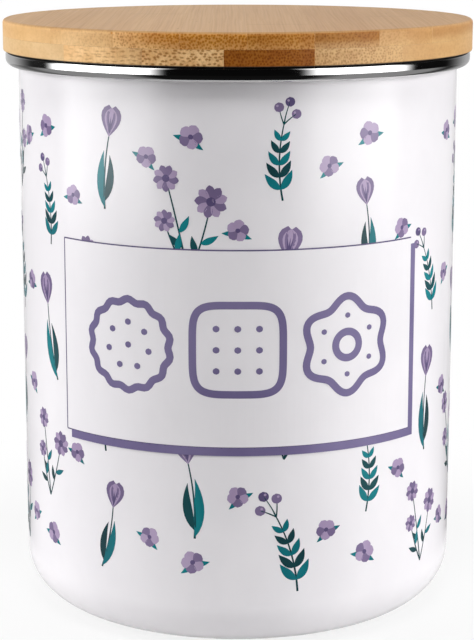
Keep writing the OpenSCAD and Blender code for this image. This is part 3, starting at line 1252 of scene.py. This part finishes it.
# %% Oil the strips
PLUG_SEED = 21
STRIP_TONES = {
    "bamboo_top_1": (PALE, AMBER, FINE, 0.12), "bamboo_top_2": (PALE, AMBER, FINE, 0.3),
    "bamboo_top_3": (CREAM, AMBER, FINE, 0.7), "bamboo_top_4": (HONEY, AMBER, FINE, 0.75),
    "bamboo_top_5": (HONEY, BRONZE, FINE, 0.75), "bamboo_top_6": (UMBER, UMBER, FINE, 0.6),
    "bamboo_top_7": (TAN, TAN, FINE, 0.35), "bamboo_top_8": (OAK, OAK, FINE, 0.2),
    "bamboo_under_1": (BLOND, CREAM, EVEN, 0.15), "bamboo_under_2": (CREAM, HONEY, DASHES, 0.65),
    "bamboo_under_3": (HONEY, CREAM, COARSE, 1.3), "bamboo_under_4": (AMBER, BROWN, FINE, 0.85),
    "bamboo_under_5": (HONEY, HONEY, FINE, 0.6), "bamboo_under_6": (HONEY, HONEY, EVEN, 0.2),
}
for seed, strip in enumerate(top_strips + under_strips):
    dress(strip, bamboo_material(strip.name, *STRIP_TONES[strip.name], seed + 1))
for seed, strip in enumerate(plug_strips):
    dress(strip, bamboo_material(strip.name, HONEY, TAN, EVEN, 0.6, seed + PLUG_SEED, crosswise=True))
print("oiled strips:", len(top_strips + under_strips + plug_strips))

# %% [markdown]
# ## The studio
# White enamel on white needs contrast from the light alone. Softboxes stand left and right of the tin, one
# stands behind it and one hangs above. The floor is white to the camera and still takes a little of the
# tin's shadow close by. From below it is clear, so that the base can be looked at too.

# %% Lay the floor
FLOOR_R = 8.0
FLOOR_INSET = 7.2
SHADOW_SHARE = 0.16
SHADOW_NEAR, SHADOW_FAR = 0.09, 0.2
PAPER_FAR = 0.35
NEAR_PAPER, FAR_PAPER = (0.72, 0.72, 0.72, 1), (0.25, 0.25, 0.25, 1)


def seen_directly(tree):
    """1 for rays that show the background itself: from the camera, a mirror or through glass."""
    ray = tree.nodes.new("ShaderNodeLightPath").outputs
    mirrored = calc(tree, "MAXIMUM", ray["Is Glossy Ray"], ray["Is Transmission Ray"])
    return calc(tree, "MAXIMUM", ray["Is Camera Ray"], mirrored)


def mix_shader(tree, factor, first, second):
    """The first shader where the factor is 0, and the second where it is 1."""
    return feed_all(tree, add_node(tree, "ShaderNodeMixShader"), (factor, first, second))


start_clean()
bpy.ops.mesh.primitive_circle_add(vertices=128, radius=FLOOR_R, fill_type="NGON")
floor = bpy.context.object
floor.name = "floor"
bpy.ops.object.mode_set(mode="EDIT")
bpy.ops.mesh.inset(thickness=FLOOR_INSET)
bpy.ops.object.mode_set(mode="OBJECT")

paper = bpy.data.materials.new("white_paper")
paper.use_nodes = True
tree = paper.node_tree
tree.nodes.remove(tree.nodes["Principled BSDF"])
away = from_axis(tree, tree.nodes.new("ShaderNodeTexCoord").outputs["Object"])
kept_white = remap(tree, away, SHADOW_NEAR, SHADOW_FAR, 1 - SHADOW_SHARE, 1.0)
off_paper = remap(tree, away, SHADOW_FAR, PAPER_FAR)
matt = add_node(tree, "ShaderNodeBsdfDiffuse")
feed(tree, matt.inputs["Color"], mix_colour(tree, off_paper, NEAR_PAPER, FAR_PAPER))
glow = add_node(tree, "ShaderNodeEmission").outputs[0]
white_share = calc(tree, "MULTIPLY", seen_directly(tree), kept_white)
from_above = mix_shader(tree, white_share, matt.outputs[0], glow)
from_below = add_node(tree, "ShaderNodeBsdfTransparent").outputs[0]
below = add_node(tree, "ShaderNodeNewGeometry").outputs["Backfacing"]
one_sided = mix_shader(tree, below, from_above, from_below)
feed(tree, tree.nodes["Material Output"].inputs["Surface"], one_sided)
dress(floor, paper)
print("floor:", 2 * FLOOR_R, "m across")

# %% Light the world
AMBIENT = 0.005

world = bpy.data.worlds.new("white_studio")
bpy.context.scene.world = world
world.use_nodes = True
tree = world.node_tree
sky = tree.nodes["Background"]
feed(tree, sky.inputs["Color"], (1, 1, 1, 1))
feed(tree, sky.inputs["Strength"], remap(tree, seen_directly(tree), 0.0, 1.0, AMBIENT, 1.0))
print("ambient light:", AMBIENT)

# %% Hang the softboxes
TIN_MIDDLE, LID_MIDDLE = (0, 0, 0.12), (0, 0, 0.15)
BOX_AWAY = 0.8
SIDE_HIGH, BACK_HIGH = 0.3, 0.2
SIDE_SIZE, BACK_SIZE, TOP_SIZE = (0.4, 0.6), (0.5, 0.4), (0.4, 0.34)
BACK_POWER, TOP_POWER = 3.5, 5.4
TOP_PLACE = Vector((0, -0.47, 1.03))
SIDE_BOXES = {"left": (-80, 4.5), "left_rear": (-100, 2.7),
              "right_front": (55, 2.0), "right": (80, 4.4), "right_rear": (124, 0.8)}


def round_the_tin(azimuth, away, height):
    """A place at an angle from the camera's side, to the right of it when the angle is positive."""
    angle = math.radians(azimuth)
    return Vector((away * math.sin(angle), -away * math.cos(angle), height))


def softbox(name, place, aim, size, power):
    """A lamp of this width and height that looks at a point and isn't seen itself."""
    start_clean()
    turn = (Vector(aim) - place).to_track_quat("-Z", "Y").to_euler()
    bpy.ops.object.light_add(type="AREA", location=place, rotation=turn)
    light = bpy.context.object
    light.name = f"softbox_{name}"
    light.data.shape = "RECTANGLE"
    light.data.size, light.data.size_y = size
    light.data.energy = power
    light.visible_camera = light.visible_glossy = False


for name, (azimuth, power) in SIDE_BOXES.items():
    softbox(name, round_the_tin(azimuth, BOX_AWAY, SIDE_HIGH), TIN_MIDDLE, SIDE_SIZE, power)
softbox("back", round_the_tin(180, BOX_AWAY, BACK_HIGH), TIN_MIDDLE, BACK_SIZE, BACK_POWER)
softbox("top", TOP_PLACE, LID_MIDDLE, TOP_SIZE, TOP_POWER)
print("softboxes:", len(SIDE_BOXES) + 2)

# %% [markdown]
# ## What the steel sees
# A mirror is only as good as what stands round it. The band sees a drum: a wall with two bright cloths and
# black gaps between them, a grey table that is black in front, a paler mat round the tin's base, and a dark
# ceiling. Only reflections see the drum, so its tones can be chosen for the stripes that they draw on the
# band.

# %% Stand a drum round the tin
DRUM_R = 0.9
DRUM_HIGH = 1.1
DRUM_STEPS = 96
TABLE_NEAR = 0.1
TABLE_Z = 0.5 * MM
MAT_UNDER = 11.0
CEILING_NEAR = 0.01
BRIGHTEST = 3.2


def grey(tone):
    """A share of the brightest tone, as a colour."""
    return tone / BRIGHTEST, tone / BRIGHTEST, tone / BRIGHTEST, 1


def drum_card(name, profile, tones):
    """Sweeps a line of (distance, height) right round the tin, with a tone at each of these angles."""
    made = draw_line(name, [round_the_tin(0, away, height) for away, height in profile])
    spin_round(DRUM_STEPS)
    bpy.ops.object.mode_set(mode="OBJECT")
    made.visible_camera = made.visible_diffuse = made.visible_shadow = False
    cloth, tree, shader, at = new_material(name, Base_Color=(0, 0, 0, 1), Specular_IOR_Level=0.0,
                                           Emission_Strength=BRIGHTEST)
    x, y = split(tree, at["Object"])[:2]
    angle = calc(tree, "ARCTAN2", x, calc(tree, "MULTIPLY", y, -1.0))
    ramp = add_node(tree, "ShaderNodeValToRGB")
    ramp.color_ramp.interpolation = "EASE"
    feed(tree, ramp.inputs[0], calc(tree, "MULTIPLY_ADD", angle, 0.5 / math.pi, 0.5))
    stops = ramp.color_ramp.elements
    stops[0].color, stops[1].color = grey(tones[0][1]), grey(tones[-1][1])
    for azimuth, tone in tones[1:-1]:
        stops.new(azimuth / 360 + 0.5).color = grey(tone)
    feed(tree, shader["Emission Color"], ramp.outputs[0])
    dress(made, cloth)
    count(made)


drum_card("drum_wall", [(DRUM_R, 0), (DRUM_R, DRUM_HIGH)],
          [(-180, 0.8), (-145, 0.5), (-114, 0.016), (-104, 0.016), (-89, BRIGHTEST), (-50.5, BRIGHTEST),
           (-32.5, 0.003), (28, 0.003), (44, 2.6), (78.3, 2.6), (92.3, 0.003), (117, 0.005), (152, 0.43),
           (180, 0.8)])
drum_card("drum_table", [(TABLE_NEAR, TABLE_Z), (DRUM_R, TABLE_Z)],
          [(-180, 0.5), (-152, 0.4), (-125, 0.1), (-104, 0.28), (-60, 0.28), (-38, 0.006),
           (33, 0.006), (55, 0.28), (104, 0.28), (125, 0.03), (152, 0.4), (180, 0.5)])
drum_card("drum_mat", [((wall_r - MAT_UNDER) * MM, TABLE_Z), (TABLE_NEAR, TABLE_Z)],
          [(-180, 0.65), (180, 0.65)])
drum_card("drum_ceiling", [(CEILING_NEAR, DRUM_HIGH), (DRUM_R, DRUM_HIGH)], [(-180, 0.02), (180, 0.02)])
